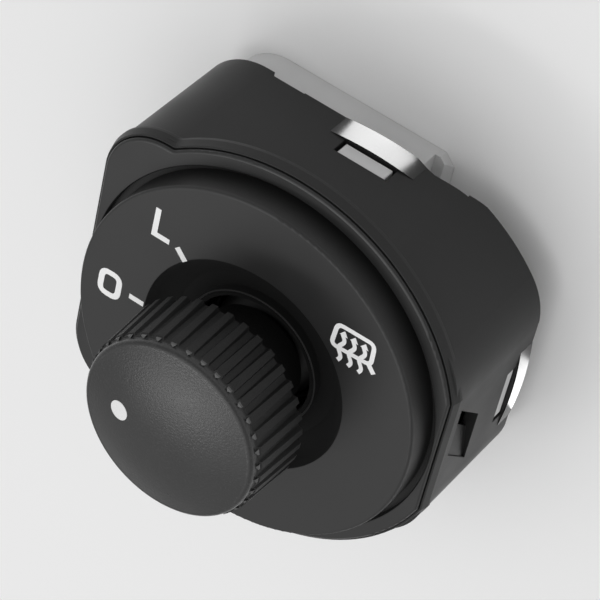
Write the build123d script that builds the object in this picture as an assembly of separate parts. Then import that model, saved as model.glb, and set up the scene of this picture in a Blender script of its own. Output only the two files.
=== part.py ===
"""Door mirror switch: a rotary selector whose knob also tilts like a small joystick.

Units are millimetres. +Z runs along the knob axis towards the knob, +X is to the
right of the dial marks and +Y is above them. The switch stands on the flat rear
face of its grey rear cover, and the origin is on that face, on the knob axis.
"""
import os
from math import cos, pi, radians, sin, sqrt

from build123d import *

# Front plate and flange outline
BEZEL_RADIUS = 24.6
BEZEL_SIDE_CUT = 1.4
BEZEL_THICKNESS = 1.0
BEZEL_EDGE = 0.35
BEZEL_HOLE_EDGE = 0.1
LOBE_INSET = 5.4
LOBE_CORNER = 7.0
LOBE_ROOT = 1.2
BEZEL_GAP = 0.1
RIM_WALL = 0.5
RIM_DROP = 0.5
RIM_BEVEL = 0.3
RIM_BEVEL_DEPTH = 1.0
FLANGE_DEPTH = 1.4
LOBE_STEP = 0.1
SIDE_STEP = 0.25

# Raised dial disc
FACE_INSET = 2.6
FACE_HEIGHT = 3.2
FACE_THICKNESS = 1.5
FACE_EDGE = 0.35
FACE_MOAT = 0.8
BOWL_RADIUS = 13.2
BOWL_DEPTH = 2.8
BOWL_FLOOR_RADIUS = 10.4
BOWL_WALL = 1.3
BOWL_SAG = 0.3
COLLAR_RADIUS = 8.6
COLLAR_WALL = 0.8
COLLAR_DROP = 1.75

# Shell
SHELL_LENGTH = 18.8
SHELL_WALL = 1.5
SHELL_FRONT_WALL = 1.5
SHELL_BOW_EXTRA = 3.5
SHELL_BOW_X = 4.2
SHELL_BOW_Y = 2.4
SHELL_BOW_ROUND = 9.0
FRONT_HOLE_RADIUS = 14.0
PILLAR_RADIUS = 1.6
PILLAR_LEFT_INSET = 5.6
PILLAR_RIGHT_INSET = 6.95
PILLAR_END_INSET = 7.7
PILLAR_RIGHT_STEP = 1.0
EDGE_STEP_LEFT = -15.0
EDGE_DIP_START = 4.5
EDGE_DIP_FLOOR = 7.2
EDGE_DIP_END = 11.7
EDGE_RAMP_END = 13.8
EDGE_STEP_SIDE = 8.0
CORNER_DROP = 0.3
EDGE_DROP = 0.45
EDGE_DIP_DROP = 1.25
EDGE_RAMP_DROP = 0.95
EDGE_NOTCH_DROP = 0.6
EDGE_NOTCH_WIDTH = 4.4

# Latch windows and the bowed straps behind them
WINDOW_WIDTH = 7.0
WINDOW_LENGTH = 2.3
WINDOW_OFFSET = 0.5
WINDOW_START = 3.7
SIDE_WINDOW_WIDTH = 7.6
SIDE_WINDOW_LENGTH = 1.9
SIDE_WINDOW_OFFSET = -0.6
SIDE_WINDOW_START = 3.0
STRAP_BULGE = 0.4
STRAP_SPREAD = 2.0

# Clip recess in each side wall, slanted towards the rear
CLIP_WIDTH = 5.3
CLIP_SKEW = 4.4
CLIP_TOP = 5.4
CLIP_BOTTOM = -1.6
CLIP_DEPTH = 1.0
CLIP_START_DEPTH = 0.3
CLIP_SLOT = 2.6
CLIP_FROM_FLANGE = 1.4

# Rear cover and plug socket
COVER_REACH = 4.85
COVER_WALL = 1.4
COVER_CLEARANCE = 0.1
COVER_RIGHT = 4.7
COVER_LIP_REACH = 2.1
COVER_LIP_HEIGHT = 1.3
COVER_LIP_SLOPE = 0.77
COVER_LIP_CORNER = 1.4
LID_RECESS = 1.5
POST_RADIUS = 1.8
SPIGOT_RADIUS = 0.9
LATCH_MARGIN = 0.6
LATCH_WALL = 1.1
LATCH_NOSE = 1.0
SOCKET_WIDTH = 18.4
SOCKET_HEIGHT = 7.0
SOCKET_X = -6.0
SOCKET_INSET = 5.6
SOCKET_WALL = 1.2
SOCKET_FLOOR = 1.3
PIN_COUNT = 8
PIN_ROW_OFFSET = 1.6
PIN_PITCH = 2.2
PIN_SIDE = 0.64
PIN_RECESS = 2.2
PIN_TIP = 0.8
PIN_PROUD = 0.7
PIN_CLEARANCE = 0.05

# Circuit board, lamps and light guide
BOARD_THICKNESS = 1.0
BOARD_MARGIN = 0.4
BOARD_GAP = 0.5
BOARD_HOLE_CLEARANCE = 0.15
LED_LENGTH = 3.5
LED_WIDTH = 2.8
LED_HEIGHT = 1.9
LED_LENS_RADIUS = 1.1
LED_LENS_DEPTH = 0.4
LED_COUNT = 2
LED_ANGLE = 165.0
GUIDE_MARGIN = 0.4
GUIDE_THICKNESS = 1.4
GUIDE_LEG_RADIUS = 1.4
GUIDE_LEG_INSET = 0.1
GUIDE_LEG_CLEARANCE = 0.3
GUIDE_LED_GAP = 0.2

# Contact dome mat
MAT_THICKNESS = 0.6
MAT_RIM = 0.5
MAT_INNER_RIM = 0.12
DOME_RING = 9.5
DOME_RADIUS = 2.2
DOME_TOP_RADIUS = 1.3
DOME_WALL = 0.4
DOME_GAP = 0.15
DOME_COUNT = 4

# Tilting head, outwards from the pivot
PIVOT_DEPTH = 3.2
ARM_DROP = 4.4
TILT_STROKE = 7.6
BALL_RADIUS = 2.6
STEM_RADIUS = 2.5
STEM_NECK_RADIUS = 1.9
STEM_COLLAR_RADIUS = 3.2
STEM_COLLAR_HEIGHT = 0.75
STEM_FLAT = 1.8
FLAT_LIFT = 1.2
STEM_END_GAP = 0.4
STEM_CHAMFER = 0.4
DRIVE_PIN_RADIUS = 0.8
DRIVE_PIN_INSET = 0.4
CUP_CLEARANCE = 0.8
CUP_WALL = 1.2
BELL_CLEARANCE = 0.6
BELL_WALL = 1.4
RING_CLEARANCE = 0.6
RING_WALL = 1.6
RING_HEIGHT = 3.2
RING_CHAMFER = 0.25
TRUNNION_RADIUS = 1.1
RUNNING_FIT = 0.05
ROOF_RISE = 2.5
ROOF_THICKNESS = 0.9
SLEEVE_RADIUS = 5.0
SLEEVE_HEIGHT = 3.6
ARM_WIDTH = 3.2
ARM_THICKNESS = 0.9
ARM_CORNER = 1.1
ARM_OVERHANG = 1.7
CIRCLIP_THICKNESS = 0.45
CIRCLIP_RADIUS = 3.4
CIRCLIP_GROOVE = 0.45
CIRCLIP_OPENING = 70.0

# Bearing frame
LUG_GAP = 0.3
LUG_THICKNESS = 2.2
LUG_HALF_WIDTH = 2.2
LUG_DROP = 1.8
FRAME_CLEARANCE = 1.0
FRAME_INSET = 1.0
FRAME_THICKNESS = 1.4
LEG_RADIUS = 0.8
LEG_RING = 10.7
LEG_SPREAD = 25.0
DETENT_ANGLE = 225.0

# Selector rotor, its contacts and the detent
ROTOR_GAP = 0.3
ROTOR_THICKNESS = 1.0
ROTOR_JOURNAL_RADIUS = 2.0
ROTOR_JOURNAL_LENGTH = 4.6
ROTOR_SHAFT_RADIUS = 3.1
BOSS_RADIUS = 3.0
CUP_DEPTH = 3.8
CUP_RISE = 0.9
CUP_FLOOR_GAP = 0.2
NOTCH_COUNT = 8
NOTCH_DEPTH = 0.6
NOTCH_HALF_ANGLE = 9.0
SLOT_CLEARANCE = 0.2
SLOT_DROP = 1.5
WIPER_THICKNESS = 0.2
WIPER_WIDTH = 1.9
WIPER_DIMPLE = 0.4
WIPER_COUNT = 3
SPRING_THICKNESS = 0.25
SPRING_WIDTH = 0.7
SPRING_BUMP_GAP = 0.12
SPRING_BUMP_LEAN = 0.2

# Knob
KNOB_RADIUS = 11.6
KNOB_CAP_RADIUS = 10.9
KNOB_LIFT = 5.2
KNOB_HEIGHT = 10.1
KNOB_RIM_DROP = 1.55
KNOB_RIM_ROUND = 0.6
KNOB_DRAFT = 0.3
RIB_COUNT = 36
RIB_HEIGHT = 0.55
RIB_TOP_SHARE = 0.38
RIB_BASE_SHARE = 0.62
RIB_CHAMFER = 0.55
RIB_STOP = 2.35
SKIRT_WALL = 1.4
CAP_WALL = 1.5
NECK_RADIUS = 6.3
NECK_WALL = 0.9
NECK_LIFT = 0.35
NECK_SKIRT = 2.0
HUB_RADIUS = 3.9
WEB_THICKNESS = 0.9
HUB_FIT = 0.03
DOT_RADIUS = 1.18
DOT_RING = 5.5
DOT_DEPTH = 1.0
DOT_PROUD = 0.05

# Levels, upwards from the rear face
SHELL_REAR = COVER_REACH
BEZEL_FRONT = SHELL_REAR + SHELL_LENGTH
FACE_LEVEL = BEZEL_FRONT + FACE_HEIGHT
SEAT = BEZEL_FRONT - BEZEL_THICKNESS
RIM_TOP = BEZEL_FRONT - RIM_DROP
FLANGE_BACK = RIM_TOP - FLANGE_DEPTH
LID_REAR = SHELL_REAR + LID_RECESS
LID_TOP = LID_REAR + COVER_WALL
FRONT_WALL_BACK = SEAT - SHELL_FRONT_WALL
PIVOT = SEAT - PIVOT_DEPTH
ARM_BOTTOM = PIVOT - ARM_DROP
BOARD_TOP = PIVOT - TILT_STROKE
BOARD_BACK = BOARD_TOP - BOARD_THICKNESS
MAT_TOP = BOARD_TOP + MAT_THICKNESS
SOCKET_TOP = BOARD_BACK - BOARD_GAP
SOCKET_END = SOCKET_TOP - SOCKET_FLOOR
SLEEVE_TOP = PIVOT + ROOF_RISE + SLEEVE_HEIGHT
CIRCLIP_LEVEL = SLEEVE_TOP + RUNNING_FIT
KNOB_REAR = FACE_LEVEL + KNOB_LIFT
KNOB_TOP = KNOB_REAR + KNOB_HEIGHT
KNOB_RIM = KNOB_TOP - KNOB_RIM_DROP
NECK_END = CIRCLIP_LEVEL + CIRCLIP_THICKNESS + NECK_LIFT
HOLLOW_TOP = KNOB_RIM - CAP_WALL
STEM_TOP = HOLLOW_TOP - STEM_END_GAP
FLAT_START = CIRCLIP_LEVEL + CIRCLIP_THICKNESS + FLAT_LIFT

# Radii of the nested moving pieces
CUP_INNER = BALL_RADIUS + CUP_CLEARANCE
CUP_OUTER = CUP_INNER + CUP_WALL
BELL_INNER = CUP_OUTER + BELL_CLEARANCE
BELL_OUTER = BELL_INNER + BELL_WALL
RING_INNER = BELL_OUTER + RING_CLEARANCE
RING_OUTER = RING_INNER + RING_WALL
LUG_INNER = RING_OUTER + LUG_GAP
LUG_OUTER = LUG_INNER + LUG_THICKNESS
FRAME_INNER = RING_OUTER + FRAME_CLEARANCE
ROTOR_RADIUS = DOME_RING - DOME_RADIUS - ROTOR_GAP
ROTOR_BACK = BOARD_TOP + WIPER_DIMPLE + WIPER_THICKNESS + RUNNING_FIT
ROTOR_FRONT = ROTOR_BACK + ROTOR_THICKNESS

# Outline half sizes and what follows from them
BEZEL_HALF_WIDTH = BEZEL_RADIUS - BEZEL_SIDE_CUT
LOBE_HALF_HEIGHT = BEZEL_RADIUS - LOBE_INSET
FACE_RADIUS = BEZEL_RADIUS - FACE_INSET
RIM_OFFSET = BEZEL_GAP + RIM_WALL
SHELL_HALF_WIDTH = BEZEL_HALF_WIDTH + RIM_OFFSET - SIDE_STEP
SHELL_HALF_HEIGHT = LOBE_HALF_HEIGHT + RIM_OFFSET - LOBE_STEP
SHELL_BOW_RADIUS = SHELL_HALF_HEIGHT + SHELL_BOW_EXTRA
INNER_HALF_HEIGHT = SHELL_HALF_HEIGHT - SHELL_WALL
SOCKET_Y = INNER_HALF_HEIGHT - SOCKET_INSET
FRAME_OUTER = INNER_HALF_HEIGHT - FRAME_INSET
GUIDE_INNER = BOWL_RADIUS + BOWL_WALL + GUIDE_MARGIN
GUIDE_LEG_RING = GUIDE_INNER + GUIDE_LEG_RADIUS - GUIDE_LEG_INSET

# Length by which joined solids run into each other, and the size of a match
OVERLAP = 0.5
MATCH = 0.01

BASE = (Align.CENTER, Align.CENTER, Align.MIN)


def turned(points):
    """Solid of revolution about the knob axis, from (radius, height) points."""
    return revolve(Plane.XZ * make_face(Polyline(*points, close=True)), Axis.Z)


def disc(radius, low, high):
    """Upright cylinder on the knob axis between two levels."""
    return Pos(0, 0, low) * Cylinder(radius, high - low, align=BASE)


def peg(x, y, radius, low, high):
    """Upright cylinder at a place off the axis."""
    return Pos(x, y, 0) * disc(radius, low, high)


def block(x_range, y_range, z_range):
    """Box between two corners, each range being (low, high)."""
    (x0, x1), (y0, y1), (z0, z1) = x_range, y_range, z_range
    centre = ((x0 + x1) / 2, (y0 + y1) / 2, (z0 + z1) / 2)
    return Pos(*centre) * Box(x1 - x0, y1 - y0, z1 - z0)


def around(count, start=0.0):
    """Angles in degrees of a polar pattern."""
    return [start + 360.0 * index / count for index in range(count)]


def slab(sketch, low, high):
    """Flat sketch made solid between two levels."""
    return Pos(0, 0, low) * extrude(sketch, high - low)


def front_outline(margin):
    """Circle with two corner lobes on the left, clipped by the flat sides."""
    radius = BEZEL_RADIUS + margin
    half_width = BEZEL_HALF_WIDTH + margin
    half_height = LOBE_HALF_HEIGHT + margin
    lobes = Pos(-half_width / 2, 0) * Rectangle(half_width, 2 * half_height)
    left = lobes.vertices().sort_by(Axis.X)[:2]
    lobes = fillet(left, LOBE_CORNER + margin)
    outline = (Circle(radius) + lobes) & Rectangle(2 * half_width, 2 * radius)
    root_x = sqrt(radius ** 2 - half_height ** 2)
    roots = [v for v in outline.vertices()
             if abs(v.X + root_x) < MATCH and abs(abs(v.Y) - half_height) < MATCH]
    return fillet(roots, LOBE_ROOT)


def shell_outline(inset):
    """Box outline with round corners on the left and long flat bows on the right."""
    half_width = SHELL_HALF_WIDTH - inset
    half_height = SHELL_HALF_HEIGHT - inset
    radius = SHELL_BOW_RADIUS - inset
    side_y = sqrt(radius ** 2 - (half_width - SHELL_BOW_X) ** 2) - SHELL_BOW_Y
    end_x = sqrt(radius ** 2 - (half_height + SHELL_BOW_Y) ** 2) + SHELL_BOW_X
    middle_x = SHELL_BOW_X + radius / sqrt(2)
    middle_y = radius / sqrt(2) - SHELL_BOW_Y
    outline = make_face([
        Line((-half_width, half_height), (end_x, half_height)),
        ThreePointArc((end_x, half_height), (middle_x, middle_y), (half_width, side_y)),
        Line((half_width, side_y), (half_width, -side_y)),
        ThreePointArc((half_width, -side_y), (middle_x, -middle_y), (end_x, -half_height)),
        Line((end_x, -half_height), (-half_width, -half_height)),
        Line((-half_width, -half_height), (-half_width, half_height)),
    ])
    left = outline.vertices().group_by(Axis.X)[0]
    outline = fillet(left, LOBE_CORNER + RIM_OFFSET - inset)
    bow_ends = outline.vertices().group_by(Axis.X)[-2:]
    return fillet(bow_ends[0] + bow_ends[1], SHELL_BOW_ROUND - inset)


def pillar_places():
    """Four places where the board is held between the shell and the cover."""
    left, right = PILLAR_LEFT_INSET - SHELL_HALF_WIDTH, SHELL_HALF_WIDTH - PILLAR_RIGHT_INSET
    left_y = SHELL_HALF_HEIGHT - PILLAR_END_INSET
    right_y = left_y - PILLAR_RIGHT_STEP
    return [(left, -left_y), (left, left_y), (right, -right_y), (right, right_y)]


def led_places():
    """Lamp places, opposite each other on the light guide's leg ring."""
    return [(GUIDE_LEG_RING * cos(radians(a)), GUIDE_LEG_RING * sin(radians(a)))
            for a in around(LED_COUNT, LED_ANGLE)]


def pin_places():
    """Plug contact places in one row, nearer to the socket's upper wall."""
    first = SOCKET_X - PIN_PITCH * (PIN_COUNT - 1) / 2
    row_y = SOCKET_Y + PIN_ROW_OFFSET
    return [(first + PIN_PITCH * index, row_y) for index in range(PIN_COUNT)]


def strap_bulge(width, offset, start, half_size):
    """Shallow bow of the wall behind a latch window, on the +Y side."""
    chord = width + 2 * STRAP_SPREAD
    bow_radius = (chord ** 2 / 4 + STRAP_BULGE ** 2) / (2 * STRAP_BULGE)
    centre = half_size - bow_radius + STRAP_BULGE
    bow = Pos(offset, centre, SHELL_REAR) * Cylinder(bow_radius, start, align=BASE)
    keep = block((offset - chord / 2, offset + chord / 2),
                 (half_size - SHELL_WALL, half_size + 2 * STRAP_BULGE),
                 (SHELL_REAR, SHELL_REAR + start))
    return bow & keep


def window(width, offset, start, length, half_size):
    """Cut-out through the +Y wall for a latch nose."""
    low = SHELL_REAR + start
    return block((offset - width / 2, offset + width / 2),
                 (half_size - SHELL_WALL - OVERLAP, half_size + OVERLAP),
                 (low, low + length))


def clip_recess():
    """Slanted ramp that sinks into the +X wall and ends in a slot through it."""
    slot_start = CLIP_TOP - CLIP_SLOT
    surface = SHELL_HALF_WIDTH + OVERLAP
    inside = SHELL_HALF_WIDTH - SHELL_WALL - OVERLAP
    ramp = make_face(Polyline(
        (SHELL_HALF_WIDTH - CLIP_START_DEPTH, CLIP_BOTTOM), (surface, CLIP_BOTTOM),
        (surface, CLIP_TOP), (inside, CLIP_TOP), (inside, slot_start),
        (SHELL_HALF_WIDTH - CLIP_DEPTH, slot_start), close=True))
    slant = Vector(0, -CLIP_SKEW, -CLIP_WIDTH)
    high = FLANGE_BACK - CLIP_FROM_FLANGE
    return extrude(Pos(0, 0, high) * ramp, slant.length, dir=slant)


def rear_edge_steps():
    """Cut-outs along the shell's rear edge, which leave its left corners longest."""
    wide = SHELL_HALF_WIDTH + OVERLAP
    tall = SHELL_HALF_HEIGHT + OVERLAP
    notch_end = EDGE_STEP_LEFT + EDGE_NOTCH_WIDTH
    profile = make_face(Polyline(
        (EDGE_STEP_LEFT, -OVERLAP), (EDGE_STEP_LEFT, EDGE_NOTCH_DROP),
        (notch_end, EDGE_NOTCH_DROP), (notch_end, EDGE_DROP), (EDGE_DIP_START, EDGE_DROP),
        (EDGE_DIP_FLOOR, EDGE_DIP_DROP), (EDGE_DIP_END, EDGE_DIP_DROP),
        (EDGE_DIP_END, EDGE_RAMP_DROP), (EDGE_RAMP_END, CORNER_DROP), (wide, CORNER_DROP),
        (wide, -OVERLAP), close=True))
    steps = Pos(0, 0, SHELL_REAR) * extrude(Plane.XZ * profile, tall, both=True)
    return steps + block((0, wide), (-EDGE_STEP_SIDE, EDGE_STEP_SIDE),
                         (SHELL_REAR - OVERLAP, SHELL_REAR + EDGE_DROP))


def make_housing():
    """Black shell: open at the rear, with the flange and the plate's pocket."""
    shell = slab(shell_outline(0), SHELL_REAR, SEAT)
    shell -= slab(shell_outline(SHELL_WALL), SHELL_REAR, FRONT_WALL_BACK)
    flange = slab(front_outline(RIM_OFFSET), FLANGE_BACK, RIM_TOP)
    top = flange.faces().sort_by(Axis.Z)[-1]
    flange = chamfer(top.outer_wire().edges(), RIM_BEVEL, RIM_BEVEL_DEPTH, reference=top)
    flange -= slab(shell_outline(SHELL_WALL), FLANGE_BACK, FRONT_WALL_BACK)
    flange -= slab(front_outline(BEZEL_GAP), SEAT, RIM_TOP)
    shell += flange
    for sign in (1, -1):
        up = Rot(0, 0, 90 - 90 * sign)
        shell += up * strap_bulge(WINDOW_WIDTH, sign * WINDOW_OFFSET, WINDOW_START,
                                  SHELL_HALF_HEIGHT)
        shell += Rot(0, 0, -90 * sign) * strap_bulge(
            SIDE_WINDOW_WIDTH, -sign * SIDE_WINDOW_OFFSET, SIDE_WINDOW_START,
            SHELL_HALF_WIDTH)
        shell -= up * window(WINDOW_WIDTH, sign * WINDOW_OFFSET, WINDOW_START,
                             WINDOW_LENGTH, SHELL_HALF_HEIGHT)
        shell -= Rot(0, 0, -90 * sign) * window(
            SIDE_WINDOW_WIDTH, -sign * SIDE_WINDOW_OFFSET, SIDE_WINDOW_START,
            SIDE_WINDOW_LENGTH, SHELL_HALF_WIDTH)
    shell -= rear_edge_steps()
    recess = clip_recess()
    shell -= recess
    shell -= mirror(recess, Plane.YZ)
    shell -= disc(FRONT_HOLE_RADIUS, FRONT_WALL_BACK, SEAT)
    for x, y in pillar_places():
        shell += peg(x, y, PILLAR_RADIUS, BOARD_TOP, FRONT_WALL_BACK)
    for x, y in led_places():
        shell -= peg(x, y, GUIDE_LEG_RADIUS + GUIDE_LEG_CLEARANCE, FRONT_WALL_BACK, SEAT)
    return shell


def make_front_bezel():
    """Flat front plate with a rounded outer edge and a hole for the raised disc."""
    plate = slab(front_outline(0), SEAT, BEZEL_FRONT)
    top = plate.faces().sort_by(Axis.Z)[-1]
    plate = fillet(top.outer_wire().edges(), BEZEL_EDGE)
    plate -= disc(FACE_RADIUS + FACE_MOAT, SEAT, BEZEL_FRONT)
    inner = plate.edges().filter_by(GeomType.CIRCLE).group_by(Axis.Z)[-1]
    inner = [e for e in inner if abs(e.radius - FACE_RADIUS - FACE_MOAT) < MATCH]
    return chamfer(inner, BEZEL_HOLE_EDGE)


def make_face_disc():
    """Raised dial disc: rounded rim, dished bowl and a collar round the knob's neck."""
    top = FACE_LEVEL
    floor = FACE_LEVEL - BOWL_DEPTH
    collar_inner = COLLAR_RADIUS - COLLAR_WALL
    cavity_outer = FACE_RADIUS - FACE_THICKNESS
    cavity_inner = BOWL_RADIUS + BOWL_WALL
    bowl_base = floor - BOWL_WALL
    diagonal = 1 / sqrt(2)
    rim = [
        Line((FACE_RADIUS, SEAT), (FACE_RADIUS, top - FACE_EDGE)),
        ThreePointArc((FACE_RADIUS, top - FACE_EDGE),
                      (FACE_RADIUS - FACE_EDGE * (1 - diagonal),
                       top - FACE_EDGE * (1 - diagonal)),
                      (FACE_RADIUS - FACE_EDGE, top)),
        Line((FACE_RADIUS - FACE_EDGE, top), (BOWL_RADIUS, top)),
    ]
    sag_r = (BOWL_RADIUS + BOWL_FLOOR_RADIUS) / 2 + BOWL_SAG
    sag_z = (top + floor) / 2 - BOWL_SAG
    bowl = [
        ThreePointArc((BOWL_RADIUS, top), (sag_r, sag_z), (BOWL_FLOOR_RADIUS, floor)),
        Line((BOWL_FLOOR_RADIUS, floor), (COLLAR_RADIUS, floor)),
        Polyline((COLLAR_RADIUS, floor), (COLLAR_RADIUS, top - COLLAR_DROP),
                 (collar_inner, top - COLLAR_DROP), (collar_inner, bowl_base)),
    ]
    underside = [
        Polyline((collar_inner, bowl_base), (BOWL_FLOOR_RADIUS + BOWL_WALL / 2, bowl_base),
                 (cavity_inner, top - FACE_THICKNESS), (cavity_outer, top - FACE_THICKNESS),
                 (cavity_outer, SEAT), (FACE_RADIUS, SEAT)),
    ]
    profile = make_face(rim + bowl + underside)
    return revolve(Plane.XZ * profile, Axis.Z)


def make_light_guide():
    """Clear ring under the dial with a leg down to each lamp."""
    outer = FACE_RADIUS - FACE_THICKNESS - GUIDE_MARGIN
    guide_top = SEAT + GUIDE_THICKNESS
    guide = disc(outer, SEAT, guide_top) - disc(GUIDE_INNER, SEAT, guide_top)
    low = BOARD_TOP + LED_HEIGHT + GUIDE_LED_GAP
    for x, y in led_places():
        guide += peg(x, y, GUIDE_LEG_RADIUS, low, guide_top)
    return guide


def cover_block_outline(inset):
    """Outline of the raised rear block: the shell's inside, cut off on the right."""
    right = COVER_RIGHT - inset
    left = -SHELL_HALF_WIDTH
    span = Pos((left + right) / 2, 0) * Rectangle(right - left, 2 * SHELL_HALF_HEIGHT)
    return shell_outline(SHELL_WALL + COVER_CLEARANCE + inset) & span


def cover_lip():
    """Lip along the rear block's right side, sloped outside, with two cut corners."""
    root = COVER_RIGHT - OVERLAP
    end = COVER_RIGHT + COVER_LIP_REACH
    corner = end - COVER_LIP_CORNER
    half = INNER_HALF_HEIGHT - COVER_CLEARANCE
    straight = half - COVER_LIP_CORNER
    plan = make_face(Polyline((root, -half), (corner, -half), (end, -straight),
                              (end, straight), (corner, half), (root, half), close=True))
    profile = make_face(Polyline((root, 0), (end, 0), (end - COVER_LIP_SLOPE, COVER_LIP_HEIGHT),
                                 (root, COVER_LIP_HEIGHT), close=True))
    sloped = extrude(Plane.XZ * profile, SHELL_HALF_HEIGHT, both=True)
    return slab(plan, 0, COVER_LIP_HEIGHT) & sloped


def latch(width, offset, start, length, half_size):
    """Tongue inside the +Y wall with a sloping nose that stands in the window."""
    wall_inner = half_size - SHELL_WALL - COVER_CLEARANCE
    low = SHELL_REAR + start + LATCH_MARGIN / 2
    high = SHELL_REAR + start + length - LATCH_MARGIN / 2
    root = LID_TOP - OVERLAP
    profile = make_face(Polyline(
        (wall_inner - LATCH_WALL, root), (wall_inner, root), (wall_inner, low),
        (wall_inner + LATCH_NOSE, low), (wall_inner + LATCH_NOSE, low + length / 3),
        (wall_inner, high), (wall_inner, high + LATCH_MARGIN),
        (wall_inner - LATCH_WALL, high + LATCH_MARGIN), close=True))
    half = width / 2 - LATCH_MARGIN
    return Pos(offset, 0, 0) * extrude(Plane.YZ * profile, half, both=True)


def make_rear_cover():
    """Grey lid with a raised rear block, latch tongues, board posts and the plug socket."""
    cover = slab(shell_outline(SHELL_WALL + COVER_CLEARANCE), LID_REAR, LID_TOP)
    cover += slab(cover_block_outline(0), 0, LID_TOP)
    cover += cover_lip()
    cover -= slab(cover_block_outline(COVER_WALL), COVER_WALL, LID_TOP)
    x0, x1 = SOCKET_X - SOCKET_WIDTH / 2, SOCKET_X + SOCKET_WIDTH / 2
    y0, y1 = SOCKET_Y - SOCKET_HEIGHT / 2, SOCKET_Y + SOCKET_HEIGHT / 2
    cover += block((x0 - SOCKET_WALL, x1 + SOCKET_WALL),
                   (y0 - SOCKET_WALL, y1 + SOCKET_WALL), (0, SOCKET_TOP))
    cover -= block((x0, x1), (y0, y1), (0, SOCKET_END))
    half_pin = PIN_SIDE / 2 + PIN_CLEARANCE
    for x, y in pin_places():
        cover -= block((x - half_pin, x + half_pin), (y - half_pin, y + half_pin),
                       (SOCKET_END, SOCKET_TOP))
    for x, y in pillar_places():
        foot = LID_TOP if x > COVER_RIGHT else COVER_WALL
        cover += peg(x, y, POST_RADIUS, foot - OVERLAP, BOARD_BACK)
        cover += peg(x, y, SPIGOT_RADIUS, BOARD_BACK, BOARD_TOP - RUNNING_FIT)
    journal_bore = ROTOR_JOURNAL_RADIUS + RUNNING_FIT
    bore_end = ROTOR_BACK - ROTOR_JOURNAL_LENGTH - RUNNING_FIT
    cover += disc(BOSS_RADIUS, 0, ROTOR_BACK - RUNNING_FIT)
    cover -= disc(journal_bore, bore_end, ROTOR_BACK - RUNNING_FIT)
    for sign in (1, -1):
        cover += Rot(0, 0, 90 - 90 * sign) * latch(
            WINDOW_WIDTH, sign * WINDOW_OFFSET, WINDOW_START, WINDOW_LENGTH,
            SHELL_HALF_HEIGHT)
        cover += Rot(0, 0, -90 * sign) * latch(
            SIDE_WINDOW_WIDTH, -sign * SIDE_WINDOW_OFFSET, SIDE_WINDOW_START,
            SIDE_WINDOW_LENGTH, SHELL_HALF_WIDTH)
    return cover


def make_terminal_pin(x, y):
    """Square contact pin with a tapered tip in the socket."""
    low, high = PIN_RECESS, BOARD_TOP + PIN_PROUD
    shank = block((x - PIN_SIDE / 2, x + PIN_SIDE / 2), (y - PIN_SIDE / 2, y + PIN_SIDE / 2),
                  (low + PIN_TIP, high))
    wide = Pos(x, y, low + PIN_TIP) * Rectangle(PIN_SIDE, PIN_SIDE)
    narrow = Pos(x, y, low) * Rectangle(PIN_SIDE / 2, PIN_SIDE / 2)
    return shank + loft([narrow, wide])


def make_circuit_board():
    """Board that follows the shell's inside, with holes for boss, posts and pins."""
    board = slab(shell_outline(SHELL_WALL + COVER_CLEARANCE + LATCH_WALL + BOARD_MARGIN),
                 BOARD_BACK, BOARD_TOP)
    board -= disc(BOSS_RADIUS + BOARD_HOLE_CLEARANCE, BOARD_BACK, BOARD_TOP)
    for x, y in pillar_places():
        board -= peg(x, y, SPIGOT_RADIUS + BOARD_HOLE_CLEARANCE, BOARD_BACK, BOARD_TOP)
    for x, y in pin_places():
        board -= peg(x, y, PIN_SIDE / sqrt(2) + PIN_CLEARANCE, BOARD_BACK, BOARD_TOP)
    return board


def make_led(x, y):
    """Small lamp on the board with a round lens well."""
    body = block((x - LED_LENGTH / 2, x + LED_LENGTH / 2),
                 (y - LED_WIDTH / 2, y + LED_WIDTH / 2), (BOARD_TOP, BOARD_TOP + LED_HEIGHT))
    well = Pos(x, y, BOARD_TOP + LED_HEIGHT - LED_LENS_DEPTH) * Cylinder(
        LED_LENS_RADIUS, LED_LENS_DEPTH, align=BASE)
    return body - well


def make_dome_mat():
    """Rubber ring with one hollow contact dome under each arm of the carrier."""
    inner = DOME_RING - DOME_RADIUS - MAT_INNER_RIM
    outer = DOME_RING + DOME_RADIUS + MAT_RIM
    mat = disc(outer, BOARD_TOP, MAT_TOP) - disc(inner, BOARD_TOP, MAT_TOP)
    top = ARM_BOTTOM - DOME_GAP
    for angle in around(DOME_COUNT):
        place = Rot(0, 0, angle) * Pos(DOME_RING, 0, 0)
        mat += place * turned([(0, BOARD_TOP), (DOME_RADIUS, BOARD_TOP), (DOME_RADIUS, MAT_TOP),
                               (DOME_TOP_RADIUS, top), (0, top)])
        mat -= place * turned([(0, BOARD_TOP), (DOME_RADIUS - DOME_WALL, BOARD_TOP),
                               (DOME_RADIUS - DOME_WALL, MAT_TOP - DOME_WALL),
                               (DOME_TOP_RADIUS - DOME_WALL, top - 2 * DOME_WALL),
                               (0, top - 2 * DOME_WALL)])
    return mat


def detent_leg_places():
    """Places of the two legs that hold the detent spring."""
    return [(LEG_RING * cos(radians(a)), LEG_RING * sin(radians(a)))
            for a in (DETENT_ANGLE - LEG_SPREAD, DETENT_ANGLE + LEG_SPREAD)]


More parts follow.
